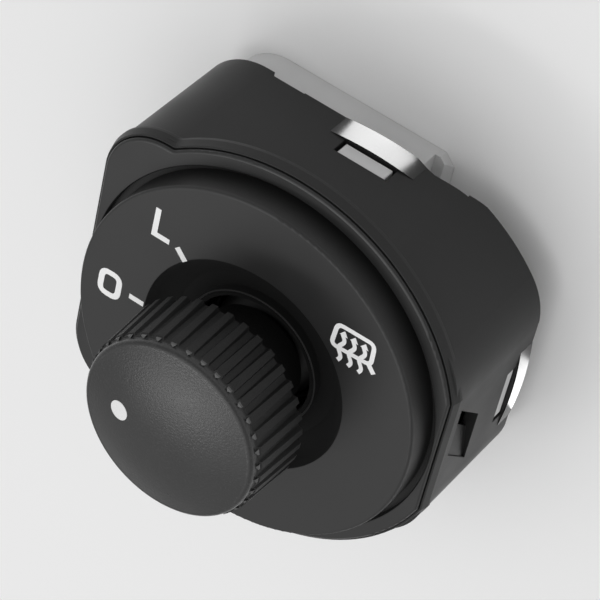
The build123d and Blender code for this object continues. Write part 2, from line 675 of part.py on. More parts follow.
def make_bearing_frame():
    """Ring under the shell's front wall with two bearing lugs and two spring legs."""
    plate_low = FRONT_WALL_BACK - FRAME_THICKNESS
    frame = disc(FRAME_OUTER, plate_low, FRONT_WALL_BACK)
    frame -= disc(FRAME_INNER, plate_low, FRONT_WALL_BACK)
    lug_low = PIVOT - LUG_DROP
    for sign in (1, -1):
        frame += block(sorted((sign * LUG_INNER, sign * LUG_OUTER)),
                       (-LUG_HALF_WIDTH, LUG_HALF_WIDTH), (lug_low, FRONT_WALL_BACK))
    bore = Cylinder(TRUNNION_RADIUS + RUNNING_FIT, 2 * LUG_OUTER + 2 * OVERLAP)
    frame -= Pos(0, 0, PIVOT) * Rot(0, 90, 0) * bore
    for x, y in detent_leg_places():
        frame += peg(x, y, LEG_RADIUS, MAT_TOP + RUNNING_FIT, plate_low + OVERLAP)
    for x, y in led_places():
        frame -= peg(x, y, GUIDE_LEG_RADIUS + GUIDE_LEG_CLEARANCE, plate_low, FRONT_WALL_BACK)
    return frame


def make_gimbal_ring():
    """Ring that tilts on two trunnions in the frame and carries two cross bores."""
    low, high = PIVOT - RING_HEIGHT / 2, PIVOT + RING_HEIGHT / 2
    ring = disc(RING_OUTER, low, high) - disc(RING_INNER, low, high)
    ring = chamfer(ring.edges().filter_by(GeomType.CIRCLE), RING_CHAMFER)
    cross_bore = Cylinder(TRUNNION_RADIUS + RUNNING_FIT, 2 * RING_OUTER + 2 * OVERLAP)
    ring -= Pos(0, 0, PIVOT) * Rot(90, 0, 0) * cross_bore
    length = LUG_OUTER - RING_OUTER + OVERLAP / 2
    for angle in (0, 180):
        trunnion = Pos(RING_OUTER - OVERLAP, 0, 0) * Rot(0, 90, 0) * Cylinder(
            TRUNNION_RADIUS, length, align=BASE)
        ring += Pos(0, 0, PIVOT) * Rot(0, 0, angle) * trunnion
    return ring


def make_tilt_carrier():
    """Bell round the drive cup, with the stem's bearing on top and four pressing arms."""
    roof = PIVOT + ROOF_RISE
    bell = turned([
        (BELL_INNER, ARM_BOTTOM), (BELL_OUTER, ARM_BOTTOM), (BELL_OUTER, roof),
        (SLEEVE_RADIUS, roof + ROOF_THICKNESS), (SLEEVE_RADIUS, SLEEVE_TOP),
        (STEM_RADIUS + RUNNING_FIT, SLEEVE_TOP), (STEM_RADIUS + RUNNING_FIT, roof),
        (BELL_INNER, roof)])
    reach = DOME_RING + ARM_OVERHANG
    arm = block((BELL_OUTER - OVERLAP, reach), (-ARM_WIDTH / 2, ARM_WIDTH / 2),
                (ARM_BOTTOM, ARM_BOTTOM + ARM_THICKNESS))
    arm = fillet(arm.edges().filter_by(Axis.Z).sort_by(Axis.X)[-2:], ARM_CORNER)
    for angle in around(DOME_COUNT):
        bell += Rot(0, 0, angle) * arm
    length = RING_OUTER - BELL_OUTER + OVERLAP - RUNNING_FIT
    for angle in (90, 270):
        trunnion = Pos(BELL_OUTER - OVERLAP, 0, 0) * Rot(0, 90, 0) * Cylinder(
            TRUNNION_RADIUS, length, align=BASE)
        bell += Pos(0, 0, PIVOT) * Rot(0, 0, angle) * trunnion
    return bell


def make_knob_stem():
    """Turning shaft: ball end with two drive pins, collar, journal, groove and flat."""
    collar_top = PIVOT + ROOF_RISE - RUNNING_FIT
    collar_low = collar_top - STEM_COLLAR_HEIGHT
    groove_low = CIRCLIP_LEVEL - RUNNING_FIT / 2
    groove_high = CIRCLIP_LEVEL + CIRCLIP_THICKNESS + RUNNING_FIT / 2
    groove_radius = STEM_RADIUS - CIRCLIP_GROOVE
    top = STEM_TOP
    shaft = turned([
        (0, PIVOT), (STEM_NECK_RADIUS, PIVOT), (STEM_NECK_RADIUS, collar_low),
        (STEM_COLLAR_RADIUS, collar_low), (STEM_COLLAR_RADIUS, collar_top),
        (STEM_RADIUS, collar_top), (STEM_RADIUS, groove_low), (groove_radius, groove_low),
        (groove_radius, groove_high), (STEM_RADIUS, groove_high),
        (STEM_RADIUS, top - STEM_CHAMFER), (STEM_RADIUS - STEM_CHAMFER, top), (0, top)])
    shaft += Pos(0, 0, PIVOT) * Sphere(BALL_RADIUS)
    reach = CUP_OUTER - DRIVE_PIN_INSET
    shaft += Pos(0, 0, PIVOT) * Rot(0, 90, 0) * Cylinder(DRIVE_PIN_RADIUS, 2 * reach)
    shaft -= block((STEM_FLAT, STEM_RADIUS + OVERLAP), (-STEM_RADIUS, STEM_RADIUS),
                   (FLAT_START, top))
    return shaft


def make_stem_circlip():
    """Open retaining ring in the stem's groove, on top of the bearing sleeve."""
    inner = STEM_RADIUS - CIRCLIP_GROOVE + RUNNING_FIT / 2
    low, high = CIRCLIP_LEVEL, CIRCLIP_LEVEL + CIRCLIP_THICKNESS
    clip = disc(CIRCLIP_RADIUS, low, high) - disc(inner, low, high)
    half = radians(CIRCLIP_OPENING / 2)
    far = 2 * CIRCLIP_RADIUS
    mouth = make_face(Polyline((0, 0), (far * cos(half), far * sin(half)),
                               (far * cos(half), -far * sin(half)), close=True))
    return clip - slab(mouth, low, high)


def make_selector_rotor():
    """Notched disc on a journal, with a slotted cup that the drive pins turn."""
    cup_top = PIVOT + CUP_RISE
    cup_floor = PIVOT - BALL_RADIUS - CUP_FLOOR_GAP
    cup_base = PIVOT - CUP_DEPTH + OVERLAP
    cone_low = cup_base - (CUP_OUTER - ROTOR_SHAFT_RADIUS)
    journal_end = ROTOR_BACK - ROTOR_JOURNAL_LENGTH
    rotor = turned([
        (0, journal_end), (ROTOR_JOURNAL_RADIUS, journal_end),
        (ROTOR_JOURNAL_RADIUS, ROTOR_BACK), (ROTOR_RADIUS, ROTOR_BACK),
        (ROTOR_RADIUS, ROTOR_FRONT), (ROTOR_SHAFT_RADIUS, ROTOR_FRONT),
        (ROTOR_SHAFT_RADIUS, cone_low), (CUP_OUTER, cup_base), (CUP_OUTER, cup_top),
        (CUP_INNER, cup_top), (CUP_INNER, cup_floor), (0, cup_floor)])
    slot_half = DRIVE_PIN_RADIUS + SLOT_CLEARANCE
    rotor -= block((-CUP_OUTER - OVERLAP, CUP_OUTER + OVERLAP), (-slot_half, slot_half),
                   (PIVOT - SLOT_DROP, cup_top))
    spread = radians(NOTCH_HALF_ANGLE)
    far = ROTOR_RADIUS + OVERLAP
    notch = make_face(Polyline(
        (ROTOR_RADIUS - NOTCH_DEPTH, 0), (far * cos(spread), far * sin(spread) + OVERLAP / 2),
        (far * cos(spread), -far * sin(spread) - OVERLAP / 2), close=True))
    notch_solid = slab(notch, ROTOR_BACK, ROTOR_FRONT)
    for angle in around(NOTCH_COUNT, DETENT_ANGLE):
        rotor -= Rot(0, 0, angle) * notch_solid
    return rotor


def make_rotor_wiper():
    """Thin stamped contact ring under the rotor with pressed dimples."""
    middle = (BOSS_RADIUS + ROTOR_RADIUS) / 2
    low = ROTOR_BACK - WIPER_THICKNESS
    wiper = disc(middle + WIPER_WIDTH / 2, low, ROTOR_BACK)
    wiper -= disc(middle - WIPER_WIDTH / 2, low, ROTOR_BACK)
    for angle in around(WIPER_COUNT, 90):
        dimple = Sphere(WIPER_DIMPLE) & disc(WIPER_WIDTH, -WIPER_DIMPLE, 0)
        wiper += Rot(0, 0, angle) * Pos(middle, 0, low) * dimple
    return wiper


def make_detent_spring():
    """Bent leaf between the frame's legs whose bump rests in a rotor notch."""
    tip = ROTOR_RADIUS - NOTCH_DEPTH + SPRING_BUMP_GAP + SPRING_THICKNESS / 2
    shoulder = ROTOR_RADIUS + SPRING_THICKNESS
    spread = radians(LEG_SPREAD)
    leg_x, leg_y = LEG_RING * cos(spread), LEG_RING * sin(spread)
    hug = LEG_RADIUS + SPRING_THICKNESS / 2 + RUNNING_FIT / 2
    rise = shoulder - tip
    points = [
        (leg_x + LEG_RADIUS, leg_y + hug), (leg_x - hug, leg_y + hug),
        (leg_x - hug, leg_y - LEG_RADIUS), (shoulder, rise + SPRING_BUMP_LEAN), (tip, 0),
        (shoulder, -rise - SPRING_BUMP_LEAN), (leg_x - hug, -leg_y + LEG_RADIUS),
        (leg_x - hug, -leg_y - hug), (leg_x + LEG_RADIUS, -leg_y - hug)]
    leaf = trace(Polyline(*points), SPRING_THICKNESS)
    low = (ROTOR_BACK + ROTOR_FRONT - SPRING_WIDTH) / 2
    return Rot(0, 0, DETENT_ANGLE) * slab(leaf, low, low + SPRING_WIDTH)


def ribbed_outline():
    """Round outline with evenly spaced ribs, one at each multiple of the pitch."""
    root = KNOB_RADIUS - RIB_HEIGHT
    pitch = 2 * pi / RIB_COUNT
    points = []
    for index in range(RIB_COUNT):
        middle = index * pitch
        for share, radius in ((-RIB_BASE_SHARE, root), (-RIB_TOP_SHARE, KNOB_RADIUS),
                              (RIB_TOP_SHARE, KNOB_RADIUS), (RIB_BASE_SHARE, root)):
            angle = middle + share * pitch / 2
            points.append((radius * cos(angle), radius * sin(angle)))
    return make_face(Polyline(*points, close=True))


def make_knob():
    """Ribbed, domed cap with a hollow skirt, a neck and a keyed hub for the stem."""
    rib_end = KNOB_TOP - RIB_STOP
    front_radius = KNOB_RADIUS - KNOB_DRAFT
    envelope = turned([
        (0, KNOB_REAR), (KNOB_RADIUS, KNOB_REAR), (front_radius, rib_end - RIB_CHAMFER),
        (front_radius - RIB_CHAMFER, rib_end), (0, rib_end)])
    ribs = slab(ribbed_outline(), KNOB_REAR, rib_end) & envelope
    cap_base = rib_end - OVERLAP
    rim_inner = KNOB_CAP_RADIUS - KNOB_RIM_ROUND
    shoulder = KNOB_RIM - KNOB_RIM_ROUND
    crown = (rim_inner / 2, dome_height(rim_inner / 2))
    rim_middle = KNOB_RIM_ROUND / sqrt(2)
    outside = [
        Polyline((0, cap_base), (KNOB_CAP_RADIUS, cap_base), (KNOB_CAP_RADIUS, shoulder)),
        ThreePointArc((KNOB_CAP_RADIUS, shoulder),
                      (rim_inner + rim_middle, shoulder + rim_middle),
                      (rim_inner, KNOB_RIM)),
        ThreePointArc((rim_inner, KNOB_RIM), crown, (0, KNOB_TOP)),
        Line((0, KNOB_TOP), (0, cap_base)),
    ]
    knob = ribs + revolve(Plane.XZ * make_face(outside), Axis.Z)
    hollow = KNOB_RADIUS - RIB_HEIGHT - SKIRT_WALL
    knob -= disc(hollow, KNOB_REAR, HOLLOW_TOP)
    skirt_end = NECK_END - NECK_SKIRT
    knob += disc(NECK_RADIUS, skirt_end, HOLLOW_TOP) - disc(
        NECK_RADIUS - NECK_WALL, skirt_end, HOLLOW_TOP)
    hub = disc(HUB_RADIUS, NECK_END, HOLLOW_TOP)
    for angle in (45, 135):
        web = block((-NECK_RADIUS + NECK_WALL / 2, NECK_RADIUS - NECK_WALL / 2),
                    (-WEB_THICKNESS / 2, WEB_THICKNESS / 2), (NECK_END, HOLLOW_TOP))
        hub += Rot(0, 0, angle) * web
    bore = disc(STEM_RADIUS + HUB_FIT, NECK_END, HOLLOW_TOP)
    bore -= block((STEM_FLAT + HUB_FIT, STEM_RADIUS + OVERLAP), (-STEM_RADIUS, STEM_RADIUS),
                  (FLAT_START + HUB_FIT, HOLLOW_TOP))
    knob += hub
    knob -= bore
    knob -= dot_body(HUB_FIT, OVERLAP)
    return knob


def dome_height(radius):
    """Height of the knob's crown at a radius, from its spherical form."""
    sphere = dome_radius()
    return KNOB_TOP - sphere + sqrt(sphere ** 2 - radius ** 2)


def dome_radius():
    """Radius of the sphere that the knob's crown is part of."""
    rise = KNOB_TOP - KNOB_RIM
    return ((KNOB_CAP_RADIUS - KNOB_RIM_ROUND) ** 2 + rise ** 2) / (2 * rise)


def dot_body(clearance, proud):
    """Pointer dot on the left of the crown, with a top that follows the crown."""
    low = dome_height(DOT_RING) - DOT_DEPTH - clearance
    sphere = dome_radius()
    dome = Pos(0, 0, KNOB_TOP - sphere) * Sphere(sphere + proud)
    return peg(-DOT_RING, 0, DOT_RADIUS + clearance, low, KNOB_TOP) & dome


def make_all():
    """Every piece of the switch by node name."""
    pieces = {
        "housing": make_housing(),
        "front_bezel": make_front_bezel(),
        "face_disc": make_face_disc(),
        "light_guide": make_light_guide(),
        "rear_cover": make_rear_cover(),
        "circuit_board": make_circuit_board(),
        "dome_mat": make_dome_mat(),
        "bearing_frame": make_bearing_frame(),
        "gimbal_ring": make_gimbal_ring(),
        "tilt_carrier": make_tilt_carrier(),
        "knob_stem": make_knob_stem(),
        "stem_circlip": make_stem_circlip(),
        "selector_rotor": make_selector_rotor(),
        "rotor_wiper": make_rotor_wiper(),
        "detent_spring": make_detent_spring(),
        "knob": make_knob(),
        "pointer_dot": dot_body(0, DOT_PROUD),
    }
    for index, (x, y) in enumerate(pin_places(), start=1):
        pieces[f"terminal_pin_{index}"] = make_terminal_pin(x, y)
    for index, (x, y) in enumerate(led_places(), start=1):
        pieces[f"led_{index}"] = make_led(x, y)
    return pieces


os.makedirs("parts", exist_ok=True)
for node, piece in make_all().items():
    export_step(piece, f"parts/{node}.step")
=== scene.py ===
"""Looks of the door mirror switch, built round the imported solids. All sizes below are in
millimetres in the part's own frame: the knob axis is Z, and the dial's marks are read with
+Y upwards."""
import math

import bpy
import numpy as np
from mathutils import Matrix, Vector


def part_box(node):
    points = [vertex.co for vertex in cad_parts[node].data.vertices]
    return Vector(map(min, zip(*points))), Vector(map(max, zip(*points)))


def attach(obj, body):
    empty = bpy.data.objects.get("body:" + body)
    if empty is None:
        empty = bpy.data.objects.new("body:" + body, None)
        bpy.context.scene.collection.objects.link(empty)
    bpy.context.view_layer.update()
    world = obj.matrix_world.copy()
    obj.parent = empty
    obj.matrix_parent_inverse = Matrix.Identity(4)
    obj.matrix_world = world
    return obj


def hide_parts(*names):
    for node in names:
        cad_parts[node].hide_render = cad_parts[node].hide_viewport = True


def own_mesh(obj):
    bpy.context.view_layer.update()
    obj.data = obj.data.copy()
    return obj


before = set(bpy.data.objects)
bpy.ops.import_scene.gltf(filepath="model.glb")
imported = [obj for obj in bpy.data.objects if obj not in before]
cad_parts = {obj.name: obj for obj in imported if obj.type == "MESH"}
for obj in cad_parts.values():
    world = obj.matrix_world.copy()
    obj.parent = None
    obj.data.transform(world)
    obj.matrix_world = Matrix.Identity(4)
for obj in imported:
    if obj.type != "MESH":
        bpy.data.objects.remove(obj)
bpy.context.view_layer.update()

MM = 0.001

# The camera of the photograph: a long lens above the dial's upper right
CAMERA_PLACE = (102.536, 226.583, 238.347)
CAMERA_RIGHT = (0.81018818, 0.18193895, -0.55721928)
CAMERA_UP = (-0.49805681, 0.71492568, -0.49073484)
CAMERA_BACK = (0.30908659, 0.67511443, 0.66984027)
LENS = 180.0
SENSOR = 36.0
CLIP = (10.0, 10000.0)

# White film of the dial's marks
INK_HEIGHT = 0.02
INK_STEP = 0.004
LETTER_STROKE = 0.7
# Middles of the strokes of L and R, which stand on one line on either side of the O
LETTER_LEFT = -13.8
LETTER_NEAR = 10.45
LETTER_FAR = 14.05
L_FOOT_END = -11.75
R_BOWL_RIGHT = -11.95
R_BOWL_FOOT = -12.3
R_BOWL_CORNER = 0.7
R_LEG_START = -12.75
R_LEG_END = -11.85
O_STROKE = 0.75
O_SIDES = (-19.2, -16.8)
O_ENDS = (-1.58, 1.5)
O_CORNER = 0.95
# Each tick's angle in degrees, its ends' radii and its width
TICKS = {"o": (180.0, 13.35, 15.3, 0.7), "l": (135.6, 13.15, 14.95, 0.75),
         "r": (224.4, 13.15, 14.95, 0.75)}
# The heated glass symbol: a pane with a tail, and three waves with arrow heads
PANE_CORNERS = [(14.72, 10.62), (14.58, 13.52), (9.88, 13.42), (9.68, 10.35)]
PANE_ROUNDING = 0.75
PANE_STROKE = 0.55
TAIL = [(14.5, 10.55), (15.3, 9.7)]
TAIL_STROKE = 0.62
WAVE_STROKE = 0.5
WAVE_PLACES = (10.87, 12.2, 13.53)
WAVE_SWING = 0.24
WAVE_PERIOD = 2.25
WAVE_CREST = 11.58
WAVE_SPAN = (8.75, 12.5)
WAVE_STEPS = 24
HEAD_BASE = 12.27
HEAD_TIP = 12.95
HEAD_LEAN = 0.03
HEAD_WIDTHS = (1.04, 0.04)

# Painted shade with a gloss of its own, on the dish round the knob and on all of the knob
# outside its cap: where each edge starts and where it ends
BOWL_EDGE = (12.55, 13.45)
CAP_EDGE = (10.9, 11.0)
CAP_BASE = (39.3, 39.5)

# The part of a noise's values that a change of gloss runs over
NOISE_SPAN = (0.3, 0.7)
# Moulded plastics: slow drifts of tone and gloss, and pale specks painted as highlights where the
# grain is high
DRIFT_SIZE = 7.0
GLOSS_DRIFT = 0.04
HIGHLIGHT_SPECK_SPAN = (0.6, 0.8)
HIGHLIGHT_SPECK_GAIN = 3.0
# Metals: the drawing marks' depth, how far they are stretched, and their share of the gloss
STREAK_DEPTH = 0.002
STREAK_STRETCH = 0.05
STREAK_GLOSS = 0.3

# Small wedges at the front ends of the knob's ribs
RIB_COUNT = 36
WEDGE_INNER = 10.85
WEDGE_OUTER = 11.17
WEDGE_HALF_WIDTH = 0.34
WEDGE_TOP = 39.78
WEDGE_DROP = 0.14
WEDGE_FOOT = 39.0

# Bead on the collar round the knob's neck
COLLAR_RADIUS = 8.45
COLLAR_LEVEL = 25.1
COLLAR_BEAD = 0.11
BEAD_STEPS = 10

# Rubber mat with four domes
MAT_INNER = 7.18
MAT_OUTER = 12.2
MAT_THICKNESS = 0.6
DOME_RING = 9.5
DOME_FOOT = 2.2
DOME_TOP = 1.3
DOME_WALL = 0.4
DOME_CROWN = 0.8
DOME_SKIRT = 0.05
DOME_HEIGHT = 2.9
# Each dome's side of the knob axis, and the joint whose arm presses it
DOMES = {"right": ((1, 0), "tilt_left_right"), "left": ((-1, 0), "tilt_left_right"),
         "up": ((0, 1), "tilt_up_down"), "down": ((0, -1), "tilt_up_down")}

# Latch windows as turn, offset, width, rear end, front end and the wall's half size
WINDOWS = {"top": (0, 0.5, 7.0, 8.55, 10.85, 19.7), "bottom": (180, -0.5, 7.0, 8.55, 10.85, 19.7),
           "right": (-90, 0.6, 7.6, 7.85, 9.75, 23.55), "left": (90, -0.6, 7.6, 7.85, 9.75, 23.55)}
PAD_SIDE_GAP = 0.4
PAD_REAR_GAP = 0.2
PAD_FRONT_GAP = 0.02
PAD_RECESS = 0.12
PAD_DEPTH = 1.3
PAD_CHAMFER = 0.12

# Polished faces of the bowed straps behind the windows
STRAP_REAR = 5.31
STRAP_RAMP_START = 4.5
STRAP_RAMP = 0.296
STRAP_BULGE = 0.4
STRAP_SPREAD = 2.0
STRAP_PROUD = 0.015
STRAP_ROOT = 0.1
STRAP_STEPS = 48

# Each strap's light: the side it is on, the middle of the glint, the way the strap faces,
# the light's size and its radiance
GLINTS = {"top_strap_glint": ("top", (0.2, 20.05, 6.9), (0, 1, 0), (9.5, 5.5), 2.1),
          "side_strap_glint": ("right", (23.9, 0.4, 6.6), (1, 0, 0), (13, 5), 0.62)}
GLINT_REACH = 6.0
GLINT_SPREAD = 70.0

# Studio: the floor, the sky's strength from its horizon to overhead, and the two softboxes
FLOOR_HALF = 1500.0
FLOOR_DROP = 0.03
SKY_TURN = 0.55
SKY_LOW = 0.46
SKY_HIGH = 1.4
KEY_PLACE = (60, 60, 640)
KEY_TARGET = (0, 0, 20)
KEY_SIZE = (400, 400)
KEY_RADIANCE = 0.35
STRIP_PLACE = (-158, -238, 552)
STRIP_TARGET = (0, 0, 42)
STRIP_SIZE = (270, 60)
STRIP_UP = (0.03, -0.9, -0.42)
STRIP_RADIANCE = 6.5


def linear(hex_colour):
    """Linear colour with alpha from an sRGB hex value: each channel runs through the
    sRGB curve, ((c + 0.055) / 1.055) to the power 2.4."""
    channels = [int(hex_colour[i:i + 2], 16) / 255 for i in (1, 3, 5)]
    return tuple(((c + 0.055) / 1.055) ** 2.4 if c > 0.04045 else c / 12.92
                 for c in channels) + (1.0,)


def add_node(tree, kind, settings, inputs, out=0):
    """Adds a node with its settings and inputs, each a value or another node's output,
    and returns one of its outputs."""
    node = tree.nodes.new("ShaderNode" + kind)
    for name, value in settings.items():
        setattr(node, name, value)
    for key, value in inputs.items():
        if isinstance(value, bpy.types.NodeSocket):
            tree.links.new(value, node.inputs[key])
        else:
            node.inputs[key].default_value = value
    return node.outputs[out] if len(node.outputs) else node


def material_tree(name):
    """A new material and its empty node tree."""
    material = bpy.data.materials.new(name)
    material.use_nodes = True
    material.node_tree.nodes.clear()
    return material, material.node_tree


def per_mm(size):
    """Texture scale, in repeats per metre, of a pattern of that size in millimetres."""
    return 1.0 / (size * MM)


def axis_radius(tree, place):
    """Distance from the knob axis."""
    flat = add_node(tree, "VectorMath", {"operation": "MULTIPLY"}, {0: place, 1: (1, 1, 0)})
    return add_node(tree, "VectorMath", {"operation": "LENGTH"}, {0: flat}, 1)


def bowl_shade_mask(tree, place):
    """Painted shade on the dish round the knob: 1 near the knob axis and 0 past the dish's edge.
    """
    return add_node(tree, "MapRange", {"interpolation_type": "SMOOTHSTEP"}, {
        "Value": axis_radius(tree, place), "From Min": BOWL_EDGE[0] * MM,
        "From Max": BOWL_EDGE[1] * MM, "To Min": 1.0, "To Max": 0.0})


def rib_and_neck_shade_mask(tree, place):
    """Painted shade on the knob's ribs and neck, all of the knob outside its cap: 1 minus the
    product of near the axis and far forward."""
    near = add_node(tree, "MapRange", {"interpolation_type": "SMOOTHSTEP"}, {
        "Value": axis_radius(tree, place), "From Min": CAP_EDGE[0] * MM,
        "From Max": CAP_EDGE[1] * MM, "To Min": 1.0, "To Max": 0.0})
    height = add_node(tree, "SeparateXYZ", {}, {0: place}, 2)
    forward = add_node(tree, "MapRange", {"interpolation_type": "SMOOTHSTEP"}, {
        "Value": height, "From Min": CAP_BASE[0] * MM, "From Max": CAP_BASE[1] * MM})
    cap = add_node(tree, "Math", {"operation": "MULTIPLY"}, {0: near, 1: forward})
    return add_node(tree, "Math", {"operation": "SUBTRACT"}, {0: 1.0, 1: cap})


def moulded(name, colour, roughness, grain, depth, edge, drift=0.12, spark=0.0, zone=None,
            **extra):
    """A moulded plastic: fine eroded grain of a size and depth in mm, slow drifts of tone
    and gloss, edges softened over `edge` mm, paler specks painted as small highlights, and
    one area of painted shade with a colour and gloss of its own."""
    material, tree = material_tree(name)
    place = add_node(tree, "TexCoord", {}, {}, "Object")
    slow = add_node(tree, "TexNoise", {}, {"Vector": place, "Scale": per_mm(DRIFT_SIZE),
                                           "Detail": 3.0})
    fine = add_node(tree, "TexNoise", {}, {"Vector": place, "Scale": per_mm(grain),
                                           "Detail": 2.0, "Roughness": 0.6})
    base = linear(colour)
    pale = tuple(min(1.0, c * (1 + drift)) for c in base[:3]) + (1.0,)
    dark = tuple(c * (1 - drift) for c in base[:3]) + (1.0,)
    tone = add_node(tree, "Mix", {"data_type": "RGBA"}, {0: slow, 6: dark, 7: pale}, 2)
    # painted highlight: pale specks mixed into the colour where the grain is high
    if spark:
        speck = add_node(tree, "MapRange", {}, {"Value": fine, "From Min": HIGHLIGHT_SPECK_SPAN[0],
                                                "From Max": HIGHLIGHT_SPECK_SPAN[1], "To Max": spark})
        bright = tuple(min(1.0, c * HIGHLIGHT_SPECK_GAIN) for c in base[:3]) + (1.0,)
        tone = add_node(tree, "Mix", {"data_type": "RGBA"}, {0: speck, 6: tone, 7: bright}, 2)
    gloss = add_node(tree, "MapRange", {}, {"Value": slow, "From Min": NOISE_SPAN[0],
                                            "From Max": NOISE_SPAN[1],
                                            "To Min": roughness - GLOSS_DRIFT,
                                            "To Max": roughness + GLOSS_DRIFT})
    # painted shade: a dark colour and a gloss of its own, mixed in by the mask
    if zone:
        where, shade_colour, shade_roughness = zone
        share = where(tree, place)
        tone = add_node(tree, "Mix", {"data_type": "RGBA"}, {
            0: share, 6: tone, 7: linear(shade_colour)}, 2)
        gloss = add_node(tree, "Mix", {"data_type": "FLOAT"}, {
            0: share, 2: gloss, 3: shade_roughness}, 0)
    rounded = add_node(tree, "Bevel", {"samples": 4}, {"Radius": edge * MM})
    normal = add_node(tree, "Bump", {}, {"Strength": 1.0, "Distance": depth * MM,
                                         "Height": fine, "Normal": rounded})
    shader = add_node(tree, "BsdfPrincipled", {}, {"Base Color": tone, "Roughness": gloss,
                                                   "Normal": normal, **extra})
    add_node(tree, "OutputMaterial", {}, {"Surface": shader})
    return material


def metal(name, colour, roughness, streak):
    """A bare or plated metal with fine drawing marks `streak` mm wide along Z."""
    material, tree = material_tree(name)
    place = add_node(tree, "TexCoord", {}, {}, "Object")
    stretched = add_node(tree, "Mapping", {}, {"Vector": place,
                                               "Scale": (1.0, 1.0, STREAK_STRETCH)})
    lines = add_node(tree, "TexNoise", {}, {"Vector": stretched, "Scale": per_mm(streak),
                                            "Detail": 2.0})
    gloss = add_node(tree, "MapRange", {}, {"Value": lines, "From Min": NOISE_SPAN[0],
                                            "From Max": NOISE_SPAN[1],
                                            "To Min": roughness * (1 - STREAK_GLOSS),
                                            "To Max": roughness * (1 + STREAK_GLOSS)})
    normal = add_node(tree, "Bump", {}, {"Strength": 1.0, "Distance": STREAK_DEPTH * MM,
                                         "Height": lines})
    shader = add_node(tree, "BsdfPrincipled", {}, {
        "Base Color": linear(colour), "Metallic": 1.0, "Roughness": gloss, "Normal": normal})
    add_node(tree, "OutputMaterial", {}, {"Surface": shader})
    return material


# Each finish starts from what the real piece is made of: its maker, the maker's values in
# their order, further settings and the CAD nodes that wear it
FINISHES = {
    # black ABS from an etched mould: satin, with a soft even sheen
    "satin_abs_housing": (moulded, ("#232323", 0.42, 0.16, 0.006, 0.12), {"IOR": 1.36},
                          ["housing"]),
    # finer etched black ABS; its dish round the knob is painted near black and dull as
    # the knob's shade
    "satin_abs_dial": (moulded, ("#1f1f1f", 0.45, 0.14, 0.004, 0.12),
                       {"zone": (bowl_shade_mask, "#030303", 0.9)}, ["face_disc"]),
    # the plate is moulded against polished steel, so it mirrors the disc's flank
    "polished_abs_plate": (moulded, ("#212121", 0.32, 0.2, 0.002, 0.10), {}, ["front_bezel"]),
    # coarser grain on the knob gives grip; its pale specks are painted highlights, and its
    # ribs and neck are painted near black as shade
    "grained_abs_knob": (moulded, ("#2b2b2b", 0.30, 0.22, 0.035, 0.10),
                         {"spark": 0.6, "zone": (rib_and_neck_shade_mask, "#060606", 0.55)}, ["knob"]),
    # white ABS pressed into the knob, even and slightly shiny
    "white_abs_dot": (moulded, ("#e6e6e6", 0.45, 0.2, 0.004, 0.05), {"drift": 0.03},
                      ["pointer_dot"]),
    # glass-filled polyamide is dull, with cloudy tone where the melt flowed
    "glass_filled_polyamide_cover": (moulded, ("#cecece", 0.55, 0.25, 0.01, 0.12),
                                     {"drift": 0.08}, ["rear_cover"]),
    # glass fibre in epoxy under green lacquer: even and satin
    "glass_fibre_board": (moulded, ("#2f5a3c", 0.40, 0.4, 0.004, 0.05), {}, ["circuit_board"]),
    # cast resin over the lamps has a smooth milky gloss
    "cream_lamp_resin": (moulded, ("#e8e4d8", 0.30, 0.3, 0.002, 0.05), {"drift": 0.03},
                         ["led_1", "led_2"]),
    # clear acrylic is polished and lets most light through
    "clear_acrylic_guide": (moulded, ("#dfe3e2", 0.12, 0.3, 0.001, 0.10),
                            {"drift": 0.02, "Transmission Weight": 0.7, "IOR": 1.49},
                            ["light_guide"]),
    # silicone rubber is dull and slightly blue beside the black plastics
    "silicone_dome_mat": (moulded, ("#4a4d52", 0.60, 0.2, 0.006, 0.10), {}, ["dome_mat"]),
    # filled black polyester is a little dull and grey at its edges
    "black_polyester_frame": (moulded, ("#1c1c1d", 0.50, 0.2, 0.006, 0.10), {},
                              ["bearing_frame"]),
    # bare acetal looks waxy, with a soft wide sheen
    "white_acetal": (moulded, ("#e2e0d8", 0.35, 0.25, 0.003, 0.10), {"drift": 0.03},
                     ["selector_rotor"]),
    # acetal dyed through is a deep black
    "black_acetal": (moulded, ("#101010", 0.45, 0.25, 0.003, 0.10), {},
                     ["gimbal_ring", "tilt_carrier", "knob_stem"]),
    # tin plate is pale and softly bright, with the wire's drawing marks under it
    "tinned_brass_pins": (metal, ("#c9c6bd", 0.30, 0.05), {},
                          ["terminal_pin_%d" % index for index in range(1, 9)]),
    # cold-rolled spring steel is bright and even
    "bright_spring_steel": (metal, ("#b4b4b2", 0.25, 0.05), {},
                            ["detent_spring", "stem_circlip"]),
    # stamped phosphor bronze has a warm bright sheen
    "phosphor_bronze": (metal, ("#c79a5a", 0.28, 0.05), {}, ["rotor_wiper"]),
    # pad-printed ink is a thin dull film, slightly uneven in cover
    "white_pad_print": (moulded, ("#f6f6f6", 0.55, 0.12, 0.004, 0.02), {"drift": 0.05}, []),
    # rubbed by the latches as they snap in, the black ABS shines where it is bowed
    "rubbed_abs_strap": (moulded, ("#101010", 0.22, 0.2, 0.0005, 0.02), {}, []),
    # the collar is left as bright as the mould's polish, so its bead draws a fine line
    "polished_abs_collar": (moulded, ("#1c1c1c", 0.32, 0.2, 0.001, 0.02), {}, []),
    # the ribs' end wedges are smooth, so they catch the strip light, and their pale colour is a
    # painted highlight
    "worn_abs_rib_ends": (moulded, ("#4c4c4c", 0.25, 0.2, 0.002, 0.02), {}, []),
}


def finish_nodes():
    """Makes every finish and gives it to its CAD nodes."""
    for name, (maker, values, extra, nodes) in FINISHES.items():
        material = maker(name, *values, **extra)
        for node in nodes:
            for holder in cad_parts[node].material_slots:
                holder.material = material


